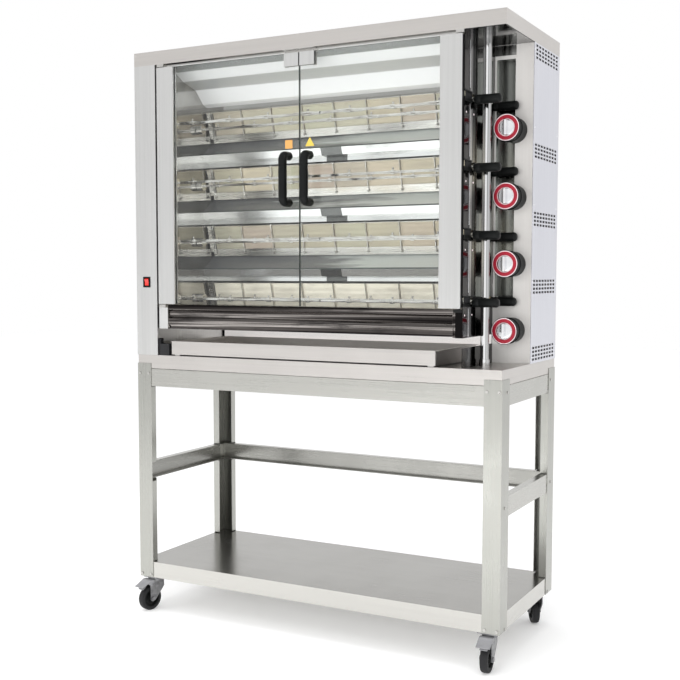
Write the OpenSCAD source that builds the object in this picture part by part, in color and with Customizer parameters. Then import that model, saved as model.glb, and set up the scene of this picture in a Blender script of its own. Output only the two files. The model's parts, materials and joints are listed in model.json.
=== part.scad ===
// Vertical rotisserie broiler on a rolling stand. Millimetres, +Z up.
// Origin: on the floor, under the middle of the cabinet. The doors face -Y.
// Inside the modules, x runs from the cabinet's left side and y back from its front face.

/* [Cabinet] */
// Width over the cabinet's two sides
cab_w = 1320; // [1300:1:1340]
// Depth from the front face to the back panel
cab_d = 524; // [520:1:540]
// Height of the cabinet's roof above the floor
cab_top = 1922; // [1912:1:1932]
// Height of the roof cover's skirt
cover_h = 45; // [40:1:48]
// Thickness of the sheet metal
sheet = 2; // [1.5:0.1:2]
// Width of the motor column on the left
column_w = 86; // [84:1:88]
// Depth of the control recess on the right
recess_d = 260; // [256:1:262]
// Width of the control recess on the right
recess_w = 127; // [124:1:130]

/* [Stand] */
// Height of the stand's top, where the base pan starts
stand_top = 852; // [842:1:862]
// Height of the base pan
pan_h = 46; // [44:1:48]
// Width of a leg's front flange
leg_w = 56; // [50:1:60]
// Width of a leg's side flange
leg_d = 66; // [60:1:70]
// Height of the stand's rails
rail_h = 60; // [50:1:62]
// Height of the middle rails' underside above the floor
mid_rail_z = 460; // [452:1:472]
// Height of the bottom shelf's skirt
shelf_h = 55; // [50:1:58]

/* [Casters] */
// Height from the floor to the stand's feet
caster_h = 118; // [117:0.5:120]
// Radius of a caster wheel
wheel_r = 42; // [40:0.5:42]
// Width of a caster wheel
wheel_w = 24; // [20:1:24]
// Distance between the swivel axis and the axle
trail = 28; // [26:1:30]
// Turn of each caster about its swivel: front left, front right, back left, back right
caster_turn = [-14, 4, 10, 210];

/* [Spits] */
// Height of the lowest row of spits
spit_z = 1090; // [1088:1:1092]
// Distance between the rows of spits
spit_pitch = 199; // [198:1:200]
// Distance of the front spits from the front face
front_spit_y = 80; // [78:1:84]
// Distance of the rear spits from the front face
rear_spit_y = 235; // [232:1:236]
// Side of the spit's square bar
bar_side = 8; // [8:1:10]
// Radius of the grip
grip_r = 14; // [12:0.5:14]
// Length of the grip
grip_l = 83; // [78:1:84]

/* [Burners] */
// Height of the lowest burner
burner_z = 1086; // [1084:1:1088]
// Distance between the burners, and between the knobs
burner_pitch = 204; // [202:1:205]
// Distance between neighbouring burner tiles
tile_pitch = 123.6; // [122:0.1:124]
// Height of a tile
tile_h = 92; // [88:1:92]
// Thickness of a tile
tile_t = 13; // [11:1:13]
// Backward lean of the tiles
tile_tilt = 15; // [12:1:15]

/* [Doors] */
// Height of the doors' lower edge above the floor
door_z = 1074; // [1072:1:1076]
// Height of a door
door_h = 792; // [788:1:792]
// Width of the left stile
left_stile_w = 67; // [64:1:70]
// Width of the right stile
right_stile_w = 69; // [65:1:71]
// Thickness of the glass
glass_t = 6; // [5:0.5:6]

/* [Controls] */
// Radius of a knob
knob_r = 41.5; // [38:0.5:41.5]
// Height of the lowest knob above the floor
knob_z = 1002; // [998:1:1004]

/* [Hidden] */
$fn = 48;
CORNERS = ["fl", "fr", "bl", "br"];

// Gap between parts that pass each other, and radial play of a shaft in its bore
gap = 0.4;
play = 0.05;

// Stand, with a narrow gap between its top rails and the base pan
pan_top = stand_top + pan_h;
leg_top = stand_top + 17;
top_rail_z = stand_top - 2 - rail_h;
lip = 25;
shelf_top = caster_h + shelf_h;
foot_x = 42;
foot_y = 34;

// Cabinet walls
cab_base = pan_top;
cover_z = cab_top - cover_h;
cab_back = cab_d - sheet;
wall_x = cab_w - recess_w;
liner_x = column_w + 7;
liner_in = liner_x + sheet;
door_t = 20;
liner_y = door_t + 4;
liner_back = 400;
gutter_z = cab_base + 92;
tray_z = cab_base + 5;
window = [wall_x + 8, wall_x + 68, cab_base + 199, cab_base + 934];
window_d = 10;

// Rows
SPITS = [for (i = [0:3]) spit_z + i * spit_pitch];
BURNERS = [for (i = [0:3]) burner_z + i * burner_pitch];
COLUMNS = [front_spit_y, rear_spit_y];
shaft_r = 8;
socket_r = 15;
socket_x = [liner_in + 2, liner_in + 24];
bar_play = 0.3;
journal_r = 7;
dip_r = journal_r + 0.3;
spit_x = socket_x[0] + 6;
grip_x = wall_x + 4;

// Burners
tile_count = 8;
tile_x = liner_in + 21;
tile_y = 310;
tile_rise = 12;
tile_w = tile_pitch - 2.6;
housing_d = 70;
housing_h = tile_h + 4;
pipe_y = 350;

// Doors
door_x = [liner_x, wall_x - 5];
stile_in = [door_x[0] + left_stile_w, door_x[1] - right_stile_w];
meet_x = (liner_x + wall_x) / 2;
pivot_in = 9;
pivot_y = door_t / 2;
pin_r = 4;
handle_h = 173;
handle_r = 13.5;
handle_out = 46;
handle_z = door_z + 399;
handle_off = 38;
groove = 12;

// Controls
knob_x = cab_w - 58;
knob_y = 175;
knob_d = 40;
knob_shaft_r = 4;
KNOBS = [for (i = [0:3]) knob_z + i * burner_pitch];
switch_x = column_w / 2;
switch_z = cab_base + 250;
inlet_x = cab_w - 64;
inlet_y = 400;
inlet_z = cab_base + 44;
inlet_r = 10.5;
inlet_out = handle_out;

// ---------- helpers ----------

// Moves a shape from cabinet coordinates to the origin
module place() {
    translate([-cab_w / 2, -cab_d / 2, 0]) children();
}

// Block between two corners
module block(lo, hi) {
    translate(lo) cube(hi - lo);
}

// Rods along X and Y
module rod_x(x0, x1, y, z, r) {
    translate([x0, y, z]) rotate([0, 90, 0]) cylinder(r = r, h = x1 - x0);
}
module rod_y(y0, y1, x, z, r) {
    translate([x, y0, z]) rotate([-90, 0, 0]) cylinder(r = r, h = y1 - y0);
}

// Outline of a sheet of thickness t, folded along the points p
function unit(v) = v / norm(v);
function side(p, i) = let (v = unit(p[i + 1] - p[i])) [-v[1], v[0]];
function corner(p, i) =
    i == 0 ? side(p, 0) :
    i == len(p) - 1 ? side(p, i - 1) :
    (side(p, i - 1) + side(p, i)) / (1 + side(p, i - 1) * side(p, i));
function folded(p, t) = concat(p, [for (i = [len(p) - 1:-1:0]) p[i] + t * corner(p, i)]);

// Folded sheet with its profile in the y-z plane, running from x0 to x1
module sheet_x(p, t, x0, x1) {
    translate([x0, 0, 0]) rotate([90, 0, 90]) linear_extrude(x1 - x0) polygon(folded(p, t));
}

// Mirror images across the middle of the cabinet
module flip_x() {
    translate([cab_w, 0, 0]) mirror([1, 0, 0]) children();
}
module flip_y() {
    translate([0, cab_d, 0]) mirror([0, 1, 0]) children();
}
module four_corners() {
    children();
    flip_x() children();
    flip_y() children();
    flip_x() flip_y() children();
}

// ---------- stand ----------

module leg() {
    block([0, 0, caster_h], [leg_w, sheet, leg_top]);
    block([0, 0, caster_h], [sheet, leg_d, leg_top]);
    for (z = [[shelf_top + 3, mid_rail_z - 3], [mid_rail_z + rail_h + 3, top_rail_z - 3]]) {
        block([leg_w - sheet, 0, z[0]], [leg_w, lip, z[1]]);
        block([0, leg_d - sheet, z[0]], [lip, leg_d, z[1]]);
    }
}

module stand_legs() {
    color("silver") place() four_corners() leg();
}

// Channel along X, its web at y = 0 and its open side towards +y
module channel(l) {
    cube([l, sheet, rail_h]);
    cube([l, lip, sheet]);
    translate([0, 0, rail_h - sheet]) cube([l, lip, sheet]);
}

module side_rail(y0, y1, z) {
    translate([sheet, y0, z]) mirror([1, -1, 0]) channel(y1 - y0);
}

module stand_rails() {
    side_y = sheet + lip;
    color("silver") place() {
        translate([sheet, sheet, top_rail_z]) channel(cab_w - 2 * sheet);
        flip_y() translate([sheet, sheet, top_rail_z]) channel(cab_w - 2 * sheet);
        flip_y() translate([sheet, sheet, mid_rail_z]) channel(cab_w - 2 * sheet);
        side_rail(side_y, cab_d - side_y, top_rail_z);
        flip_x() side_rail(side_y, cab_d - side_y, top_rail_z);
        side_rail(sheet, cab_d - side_y, mid_rail_z);
        flip_x() side_rail(sheet, cab_d - side_y, mid_rail_z);
    }
}

// Tray upside down: a plate with a skirt all round
module skirted_plate(lo, hi) {
    difference() {
        block(lo, hi);
        block(lo + [sheet, sheet, -1], hi - [sheet, sheet, sheet]);
    }
}

module stand_shelf() {
    color("gainsboro") place()
        skirted_plate([sheet, sheet, caster_h], [cab_w - sheet, cab_d - sheet, shelf_top]);
}

module base_pan() {
    color("gainsboro") place()
        skirted_plate([sheet, sheet, stand_top], [cab_w - sheet, cab_d - sheet, pan_top]);
}

// ---------- casters ----------

plate_z = caster_h - 4;
race_z = plate_z - 5.5;
fork_top = race_z - 0.5;
fork_plate = 6;
pin_head_z = fork_top - fork_plate - 5.6;
king_r = 5;
cheek_in = wheel_w / 2 + 3;
cheek_out = cheek_in + 3;
axle_r = 4;
pedal_y = -30;
pedal_z = 94;
pedal_pin_r = 3;

module at_corner(i) {
    place()
        translate([i % 2 == 0 ? foot_x : cab_w - foot_x, i < 2 ? foot_y : cab_d - foot_y, 0])
            children();
}

// Mounting plate, ball race and king pin of one caster
module caster_plate() {
    block([-30, -30, plate_z], [30, 30, caster_h]);
    translate([0, 0, race_z]) cylinder(r = 25, h = plate_z - race_z);
    translate([0, 0, pin_head_z]) cylinder(r = king_r, h = race_z - pin_head_z);
    translate([0, 0, pin_head_z]) cylinder(r = 9, h = 5);
}

module caster_plates() {
    color("lightgray") for (i = [0:3]) at_corner(i) caster_plate();
}

// Side of the fork, drawn in the y-z plane
module cheek(x0) {
    translate([x0, 0, 0]) rotate([90, 0, 90]) linear_extrude(cheek_out - cheek_in) {
        polygon([[20, fork_top], [22, 80], [-18, 35], [-37, 38], [-38, 46], [-38, 98], [-30, 102],
                 [-22, fork_top]]);
        translate([-trail, wheel_r]) circle(r = 10);
    }
}

module caster_fork(i) {
    color("lightgray") at_corner(i) rotate([0, 0, caster_turn[i]]) {
        difference() {
            union() {
                translate([0, 0, fork_top - fork_plate]) cylinder(r = 24, h = fork_plate);
                block([-cheek_out, -20, fork_top - 3], [cheek_out, 20, fork_top]);
            }
            translate([0, 0, fork_top - fork_plate - 1]) cylinder(r = king_r + play, h = fork_plate + 2);
        }
        cheek(cheek_in);
        cheek(-cheek_out);
        rod_x(-cheek_out - 2, cheek_out + 2, -trail, wheel_r, axle_r);
        rod_x(cheek_out, cheek_out + 4, -trail, wheel_r, 7);
        rod_x(-cheek_out - 4, -cheek_out, -trail, wheel_r, 7);
        if (i < 2) {
            rod_x(cheek_out, cheek_out + 4.5, pedal_y, pedal_z, pedal_pin_r);
            rod_x(-cheek_out - 4.5, -cheek_out, pedal_y, pedal_z, pedal_pin_r);
            rod_x(cheek_out, cheek_out + 0.6, pedal_y, pedal_z, 6);
            rod_x(-cheek_out - 0.6, -cheek_out, pedal_y, pedal_z, 6);
        }
    }
}

// Half section of the wheel: a bored hub, a thin web and a crowned tread
module wheel_section() {
    hub_w = wheel_w + 4;
    web_w = 10;
    difference() {
        union() {
            translate([axle_r + play, -hub_w / 2]) square([8, hub_w]);
            translate([10, -web_w / 2]) square([20, web_w]);
            translate([wheel_r - 12, -wheel_w / 2]) square([9, wheel_w]);
            translate([wheel_r - 9, -wheel_w / 2 + 3]) square([9, wheel_w - 6]);
            for (s = [-1, 1]) translate([wheel_r - 3, s * (wheel_w / 2 - 3)]) circle(r = 3, $fn = 24);
        }
        translate([-1, -wheel_w]) square([1 + axle_r + play, 2 * wheel_w]);
    }
}

module caster_wheel(i) {
    color("dimgray") at_corner(i) rotate([0, 0, caster_turn[i]])
        translate([0, -trail, wheel_r]) rotate([0, 90, 0]) rotate_extrude($fn = 72) wheel_section();
}

// Brake pedal: two ears on the fork's pins, a bent foot plate and the brake shoe below it
module brake_pedal(i) {
    ear = cheek_out + 1;
    color("gray") at_corner(i) rotate([0, 0, caster_turn[i]]) {
        difference() {
            union() {
                for (s = [-1, 1]) translate([s * (ear + 1.25) - 1.25, 0, 0]) rotate([90, 0, 90])
                    linear_extrude(2.5)
                        polygon([[-26, 89], [-26, 106], [-40, 106], [-52, 98], [-36, 88]]);
                sheet_x([[-26, 106], [-40, 106], [-64, 92], [-76, 87]], -2, -ear - 2.5, ear + 2.5);
                sheet_x([[-43, 105], [-58, 84], [-68, 78]], -2, 3 - cheek_in, cheek_in - 3);
            }
            rod_x(-ear - 5, ear + 5, pedal_y, pedal_z, pedal_pin_r + play);
        }
    }
}

// ---------- cabinet shell ----------

module top_cover() {
    color("gainsboro") place() skirted_plate([0, 0, cover_z], [cab_w, cab_d, cab_top]);
}

module shaft_holes(x0, x1, r) {
    for (z = SPITS) for (y = COLUMNS) rod_x(x0, x1, y, z, r);
}

module motor_housing() {
    color("gainsboro") place() {
        difference() {
            block([0, 0, cab_base], [column_w, sheet, cover_z]);
            block([switch_x - 11, -1, switch_z - 16], [switch_x + 11, sheet + 1, switch_z + 16]);
        }
        block([0, sheet, cab_base], [sheet, cab_back, cover_z]);
        difference() {
            block([column_w - sheet, sheet, cab_base], [column_w, cab_back, cover_z]);
            shaft_holes(column_w - sheet - 1, column_w + 1, shaft_r + 2);
        }
    }
}

module side_panel() {
    slot = [20, 7];
    pitch = [29.5, 12];
    first_y = recess_d + 16;
    vent_z = [30, 238, 447, 655, 953];
    color("whitesmoke") place() difference() {
        block([cab_w - sheet, recess_d, cab_base], [cab_w, cab_back, cover_z]);
        for (v = vent_z) for (i = [0:7]) for (j = [0:3])
            translate([cab_w - sheet - 1, first_y + i * pitch[0], cab_base + v + (j - 1.8) * pitch[1]])
                cube([sheet + 2, slot[0], slot[1]]);
    }
}

module back_panel() {
    slot = [60, 8];
    color("lightgray") place() difference() {
        block([0, cab_back, cab_base], [cab_w, cab_d, cover_z]);
        for (z = [cab_base + 802, cab_base + 202]) for (i = [0:4]) for (j = [0:3])
            block([260 + i * 180, cab_back - 1, z + j * 20],
                  [260 + i * 180 + slot[0], cab_d + 1, z + j * 20 + slot[1]]);
        rod_y(cab_back - 1, cab_d + 1, inlet_x, inlet_z, inlet_r);
        rod_y(cab_back - 1, cab_d + 1, switch_x, inlet_z, 9);
    }
}

// Lining of the cooking chamber: left wall and jamb, folded ceiling, back wall
module chamber_liner() {
    ceiling = [
        [liner_y, cover_z], [liner_y, cover_z - 8], [104, cover_z - 10], [150, cover_z - 34],
        [222, cover_z - 52], [268, cover_z - 96], [294, cover_z - 104]
    ];
    color("silver") place() {
        difference() {
            block([liner_x, liner_y, gutter_z], [liner_in, liner_back, cover_z]);
            shaft_holes(liner_x - 1, liner_in + 1, shaft_r + 2);
        }
        block([liner_x, sheet, gutter_z], [liner_in, liner_y, door_z - 12]);
        block([liner_in, sheet, gutter_z], [liner_x + 36, 2 * sheet, door_z - 12]);
        sheet_x(ceiling, 1.5, liner_in, wall_x);
        block([liner_x, liner_back, cab_base], [wall_x + sheet, liner_back + sheet, cover_z]);
    }
}

// Right wall of the chamber, with an open slot for each row of spits, the low wall beside
// the drip tray, and the recess's ceiling
module right_wall() {
    x = [wall_x - 1, wall_x + sheet + 1];
    color("silver") place() {
        difference() {
            union() {
                block([wall_x, sheet, gutter_z - 3], [wall_x + sheet, liner_back, cover_z]);
                block([wall_x, recess_d, cab_base], [wall_x + sheet, liner_back, gutter_z]);
                block([wall_x, sheet, cab_base], [wall_x + sheet, recess_d, cab_base + 60]);
            }
            for (z = SPITS) {
                block([x[0], sheet - 1, z], [x[1], rear_spit_y + dip_r, z + 16]);
                for (y = COLUMNS) rod_x(x[0], x[1], y, z, dip_r);
            }
            for (z = BURNERS) rod_x(x[0], x[1], pipe_y, z + tile_rise, 7);
        }
        block([wall_x - 21, sheet, gutter_z - 3], [wall_x, 2 * sheet, door_z - 12]);
        block([wall_x + sheet, 0, cover_z - sheet], [cab_w - sheet, recess_d, cover_z]);
    }
}

// Control panel at the back of the recess, with a polished sunk strip beside the knobs
module control_panel() {
    y0 = recess_d;
    y1 = recess_d + sheet;
    tray = y0 + window_d;
    color("gainsboro") place() difference() {
        union() {
            block([wall_x + sheet, y0, cab_base], [cab_w - sheet, y1, cover_z]);
            block([window[0] - 1.5, y0, window[2] - 1.5], [window[1] + 1.5, tray + 1.5, window[3] + 1.5]);
        }
        block([window[0], y0 - 1, window[2]], [window[1], tray, window[3]]);
        for (z = KNOBS) rod_y(y0 - 1, tray + 3, knob_x, z, knob_shaft_r + 1);
    }
}

module corner_post() {
    color("white") place() translate([wall_x + 24, 131, cab_base]) {
        cylinder(r = 13, h = cover_z - sheet - cab_base);
        cylinder(r = 16, h = 20);
    }
}

// ---------- burners and deflectors ----------

// Brings a burner's own frame, with the tile's face in the plane y = 0, to its row
module at_burner(z) {
    translate([0, tile_y, z + tile_rise]) rotate([tile_tilt, 0, 0]) children();
}

// Box behind the tiles, with a folded lip that covers their lower edge
module burner_housings() {
    x = [liner_in + 8, wall_x - 8];
    base = -housing_h / 2;
    color("gray") place() for (z = BURNERS) difference() {
        at_burner(z) {
            difference() {
                block([liner_in, 2, base], [wall_x, housing_d, -base]);
                block([x[0], -1, -tile_h / 2], [x[1], tile_t, tile_h / 2]);
                block([x[0], tile_t - 1, -tile_h / 2 + 4], [x[1], housing_d - 2, tile_h / 2 - 4]);
            }
            block([x[0], -1.5, base - 15], [x[1], 0, base + 12]);
            block([x[0], -1.5, base - 1.5], [x[1], 6, base]);
        }
        rod_x(wall_x - 60, wall_x + 1, pipe_y, z + tile_rise, 5.2);
    }
}

module burner_tiles() {
    color("wheat") place() for (z = BURNERS) at_burner(z)
        for (i = [0:tile_count - 1])
            block([tile_x + i * tile_pitch, 0, -tile_h / 2],
                  [tile_x + i * tile_pitch + tile_w, tile_t, tile_h / 2]);
}

// Wire in front of each joint between tiles, hooked over the housing, with a ball at its end
module burner_guards() {
    wire_r = 1.5;
    wire_y = -6;
    color("dimgray") place() for (z = BURNERS) at_burner(z)
        for (i = [0:tile_count]) translate([tile_x - 1.3 + i * tile_pitch, 0, 0]) {
            translate([0, wire_y, -tile_h / 2 - 6]) cylinder(r = wire_r, h = tile_h + 10, $fn = 16);
            rod_y(wire_y, 8, 0, tile_h / 2 + 3.5, wire_r);
            translate([0, wire_y, -tile_h / 2 - 6]) sphere(r = 4, $fn = 24);
        }
}

module deflector_shelves() {
    shelf = [[334, -48], [264, -93], [258, -98], [268, -122], [304, -126], [304, -139]];
    low_shelf = [[334, -48], [300, -68], [300, -92]];
    color("silver") place() for (z = BURNERS)
        sheet_x([for (p = z == burner_z ? low_shelf : shelf) [p[0], z + p[1]]], 1.5, liner_in, wall_x);
}

// Folded channel under the doors that catches dripping fat
module grease_gutter() {
    x0 = liner_x + 37;
    x1 = wall_x - 28;
    top = door_z - 2;
    profile = [
        [20, top], [3, top], [3, top - 16], [9, top - 22], [9, top - 40], [2, top - 47],
        [2, top - 62], [14, gutter_z], [44, gutter_z], [48, gutter_z + 18]
    ];
    color("dimgray") place() {
        sheet_x(profile, 1.5, x0, x1);
        block([x1, 0, gutter_z - 2], [x1 + 2, 50, top - 10]);
        block([x1 + 2, sheet, gutter_z - 2], [wall_x - 21, 2 * sheet, top - 10]);
        block([liner_in, 2 * sheet, gutter_z], [x0, 50, gutter_z + 2]);
    }
}

module drip_tray() {
    x0 = liner_x + 53;
    x1 = wall_x - 82;
    z0 = tray_z;
    z1 = z0 + 45;
    back = 344;
    color("gainsboro") place() {
        difference() {
            block([x0, 6, z0], [x1, back, z1]);
            block([x0 + 1.5, 7.5, z0 + 1.5], [x1 - 1.5, back - 1.5, z1 + 1]);
        }
        block([x0, 0, z0], [x1, 6, z0 + 1.5]);
        block([x0, 0, z0 + 1.5], [x1, 1.5, z1]);
        block([x0, 1.5, z1 - 1.5], [x1, 6, z1]);
        block([x1, 6, z1 - 1.5], [x1 + 8, back, z1]);
        block([x0 - 8, 6, z1 - 1.5], [x0, back, z1]);
    }
}

// ---------- spits and their drives ----------

function spit_row(k) = SPITS[floor((k - 1) / 2)];
function spit_col(k) = COLUMNS[(k - 1) % 2];

module gear_motors() {
    color("slategray") place() for (z = SPITS) for (y = COLUMNS) difference() {
        union() {
            rod_x(52, column_w - sheet, y, z, 27);
            block([54, y - 34, z - 10], [column_w - sheet, y + 34, z + 10]);
            rod_x(10, 52, y, z + 8, 22);
        }
        rod_x(52 + 6, column_w, y, z, shaft_r + play);
    }
}

// Output shaft with the square socket that turns a spit
module drive(k) {
    y = spit_col(k);
    z = spit_row(k);
    hole = bar_side / 2 + bar_play;
    color("darkgray") place() difference() {
        union() {
            rod_x(60, socket_x[0] + 1, y, z, shaft_r);
            rod_x(socket_x[0], socket_x[1], y, z, socket_r);
        }
        block([socket_x[0] + 4, y - hole, z - hole], [socket_x[1] + 1, y + hole, z + hole]);
    }
}

// Two-pronged fork that holds the food, clamped on the bar
module fork() {
    reach = 27;
    block([-8, -9, -9], [8, 9, 9]);
    block([-2, -reach - 3, -4], [2, reach + 3, 4]);
    for (s = [-1, 1]) rod_x(-38, 38, s * reach, 0, 2);
    translate([0, 0, 9]) cylinder(r = 4, h = 8, $fn = 24);
}

module spit(k) {
    b = bar_side / 2;
    color("silver") place() translate([0, spit_col(k), spit_row(k)]) {
        block([spit_x, -b, -b], [wall_x - 20, b, b]);
        rod_x(wall_x - 20, grip_x, 0, 0, journal_r);
        for (i = [0:6]) translate([spit_x + 80 + i * 150, 0, 0]) fork();
        rod_x(grip_x + 4, grip_x + grip_l - 6, 0, 0, grip_r);
        rod_x(grip_x, grip_x + grip_l, 0, 0, grip_r - 4);
        translate([grip_x + 4, 0, 0]) rotate([0, 90, 0]) rotate_extrude()
            translate([grip_r - 4, 0]) circle(r = 4, $fn = 24);
        translate([grip_x + grip_l - 6, 0, 0]) rotate([0, 90, 0]) rotate_extrude()
            translate([grip_r - 6, 0]) circle(r = 6, $fn = 24);
    }
}

// ---------- controls and gas ----------

module knob_bezels() {
    collar = [knob_y + knob_d + 2, recess_d];
    color("black") place() {
        for (z = KNOBS) difference() {
            union() {
                rod_y(collar[0], collar[1], knob_x, z, knob_r - 3);
                intersection() {
                    rod_y(collar[1], collar[1] + window_d, knob_x, z, knob_r - 3);
                    block([window[0], collar[1], window[2]], [window[1], collar[1] + window_d, window[3]]);
                }
            }
            rod_y(collar[0] - 1, collar[1] + window_d + 1, knob_x, z, knob_shaft_r + play);
        }
        difference() {
            block([switch_x - 14, -2.5, switch_z - 18], [switch_x + 14, 0, switch_z + 18]);
            block([switch_x - 9, -4, switch_z - 14], [switch_x + 9, 1, switch_z + 14]);
        }
        difference() {
            block([switch_x - 11, 0, switch_z - 16], [switch_x + 11, 28, switch_z + 16]);
            block([switch_x - 9, -1, switch_z - 14], [switch_x + 9, 25, switch_z + 14]);
        }
    }
}

// Knob: a thick disc with a raised centre, a grip bar across it and a shaft behind
module knob(k) {
    z = KNOBS[k - 1];
    color("firebrick") place() {
        rod_y(knob_y, knob_y + knob_d, knob_x, z, knob_r);
        rod_y(knob_y - 4, knob_y, knob_x, z, 25);
        block([knob_x - 5, knob_y - 16, z - 24], [knob_x + 5, knob_y - 4, z + 24]);
        rod_y(knob_y + knob_d, recess_d + sheet + window_d + 14, knob_x, z, knob_shaft_r);
    }
}

// Gas train in the service bay: valves, manifold, burner pipes and rear inlet
module gas_manifold() {
    y0 = recess_d + window_d + 1.5;
    rise = burner_z - knob_z + tile_rise;
    color("darkkhaki") place() {
        for (z = KNOBS) {
            difference() {
                block([knob_x - 18, y0, z - 18], [knob_x + 18, y0 + 92, z + 18]);
                rod_y(y0 - 1, recess_d + sheet + window_d + 16, knob_x, z, knob_shaft_r + play);
            }
            translate([knob_x, pipe_y, z + 18]) cylinder(r = 5, h = rise - 13);
            rod_x(wall_x - 40, knob_x, pipe_y, z + rise, 5);
            rod_y(y0 + 92, inlet_y, inlet_x, z, 7);
        }
        translate([inlet_x, inlet_y, inlet_z - 20]) cylinder(r = 13, h = KNOBS[3] - inlet_z + 50);
        rod_y(inlet_y, cab_d + inlet_out, inlet_x, inlet_z, inlet_r);
        translate([inlet_x, cab_d, inlet_z]) rotate([-90, 0, 0]) cylinder(r = 19, h = 8, $fn = 6);
        difference() {
            union() {
                translate([switch_x, cab_d, inlet_z]) rotate([-90, 0, 0]) cylinder(r = 15, h = 5, $fn = 6);
                rod_y(cab_back - 6, cab_d + 18, switch_x, inlet_z, 9);
            }
            rod_y(cab_back - 8, cab_d + 20, switch_x, inlet_z, 5);
        }
    }
}

// Lit rocker of the main switch, tilted to "off"
module rocker() {
    color("red") place() translate([switch_x, 6, switch_z]) rotate([10, 0, 0]) intersection() {
        rod_x(-8, 8, 0, 0, 13);
        rotate([90, 0, 90]) translate([0, 0, -8]) linear_extrude(16)
            polygon([[-9, -14], [-6.5, 0], [-9, 14], [10, 14], [10, -14]]);
    }
}

// ---------- doors ----------

// Stile of a door: a hollow section with a groove for the glass and a pivot pin at each end.
// The glass is on its right when glass_side is 1, and on its left when it is -1.
module stile(x0, x1, pivot_x, glass_side) {
    wall = 1.5;
    g0 = pivot_y - glass_t / 2;
    g1 = pivot_y + glass_t / 2;
    gx = glass_side > 0 ? [x1 - groove, x1 + 1] : [x0 - 1, x0 + groove];
    difference() {
        block([x0, 0, door_z], [x1, door_t, door_z + door_h]);
        block([x0 + wall, wall, door_z + 8], [x1 - wall, door_t - wall, door_z + door_h - 8]);
        block([gx[0], g0, door_z - 1], [gx[1], g1, door_z + door_h + 1]);
    }
    translate([pivot_x, pivot_y, door_z - 8]) cylinder(r = pin_r, h = 9);
    translate([pivot_x, pivot_y, door_z + door_h - 1]) cylinder(r = pin_r, h = 9);
}

// Clamp plates on both faces of the glass, at the door's free top corner
module clamp_plates(x) {
    top = door_z + door_h;
    for (y = [pivot_y - glass_t / 2 - 3, pivot_y + glass_t / 2])
        block([x - 26, y, top - 41], [x + 26, y + 3, top]);
}

module door_stile_left() {
    color("silver") place() {
        stile(door_x[0], stile_in[0], door_x[0] + pivot_in, 1);
        clamp_plates(meet_x - 28);
    }
}
module door_stile_right() {
    color("silver") place() {
        stile(stile_in[1], door_x[1], door_x[1] - pivot_in, -1);
        clamp_plates(meet_x + 28);
    }
}

// Pane with two holes for the handle's studs
module pane(x0, x1, handle_x) {
    difference() {
        block([x0, pivot_y - glass_t / 2, door_z], [x1, pivot_y + glass_t / 2, door_z + door_h]);
        for (s = [-1, 1])
            rod_y(0, door_t, handle_x, handle_z + s * (handle_h / 2 - handle_r), pin_r + 0.2);
    }
}

module door_glass_left() {
    color("lightcyan") place() pane(stile_in[0] - groove, meet_x - 1.5, meet_x - handle_off);
}
module door_glass_right() {
    color("lightcyan") place() pane(meet_x + 1.5, stile_in[1] + groove, meet_x + handle_off);
}

// C-shaped handle with studs through the glass
module door_handle(x) {
    bend = 16;
    reach = pivot_y - glass_t / 2;
    y = -handle_out + handle_r;
    arm_z = handle_h / 2 - handle_r;
    back = pivot_y + glass_t / 2;
    translate([x, 0, handle_z]) {
        translate([0, y, -arm_z + bend]) cylinder(r = handle_r, h = 2 * (arm_z - bend));
        for (s = [-1, 1]) {
            rod_y(y + bend, reach, 0, s * arm_z, handle_r);
            translate([0, y + bend, s * (arm_z - bend)]) rotate([90, 0, s > 0 ? -90 : 90])
                rotate([0, 0, s > 0 ? 0 : 180]) rotate_extrude(angle = 90)
                    translate([bend, 0]) circle(r = handle_r);
            rod_y(reach, back + 3, 0, s * arm_z, pin_r);
            rod_y(back, back + 3, 0, s * arm_z, 9);
        }
    }
}

module door_handle_left() {
    color("black") place() door_handle(meet_x - handle_off);
}
module door_handle_right() {
    color("black") place() door_handle(meet_x + handle_off);
}

// ---------- brackets and fasteners ----------

module pivot_bracket(x0, x1, pivot_x, z0, z1) {
    difference() {
        block([x0, 0, z0], [x1, liner_y - gap, z1]);
        translate([pivot_x, pivot_y, z0 - 1]) cylinder(r = pin_r + play, h = z1 - z0 + 2);
    }
}

// Inverted U behind the doors' meeting corners, hung from the roof cover
module catch_bracket(top) {
    y = door_t - 3.5;
    for (x = [meet_x - 57, meet_x + 45]) block([x, y, top - 42], [x + 12, y + sheet, cover_z]);
    block([meet_x - 45, y, top - 6], [meet_x + 45, y + sheet, cover_z]);
    block([meet_x - 57, 0, cover_z - sheet], [meet_x + 57, y, cover_z]);
}

module stand_bolts() {
    for (z = [stand_top - 18, caster_h + 10]) {
        for (x = [9, 47]) rod_y(-2.5, 0, x, z, 4.5);
        rod_x(-2.5, 0, 46, z - 4, 4.5);
    }
    rod_x(-2.5, 0, 33, mid_rail_z + rail_h / 2, 4.5);
}

module brackets_and_fasteners() {
    top = door_z + door_h;
    color("silver") place() {
        for (b = [[liner_in, door_x[0] + pivot_in], [wall_x - 26, door_x[1] - pivot_in]]) {
            pivot_bracket(b[0], b[0] + 26, b[1], top + 2, cover_z);
            pivot_bracket(b[0], b[0] + 26, b[1], door_z - 12, door_z - 2);
        }
        catch_bracket(top);
        for (x = [liner_x + 60, wall_x - 110])
            block([x, 8, cab_base], [x + 20, liner_back, tray_z - gap]);
        four_corners() stand_bolts();
    }
}

// ---------- output ----------

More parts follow.
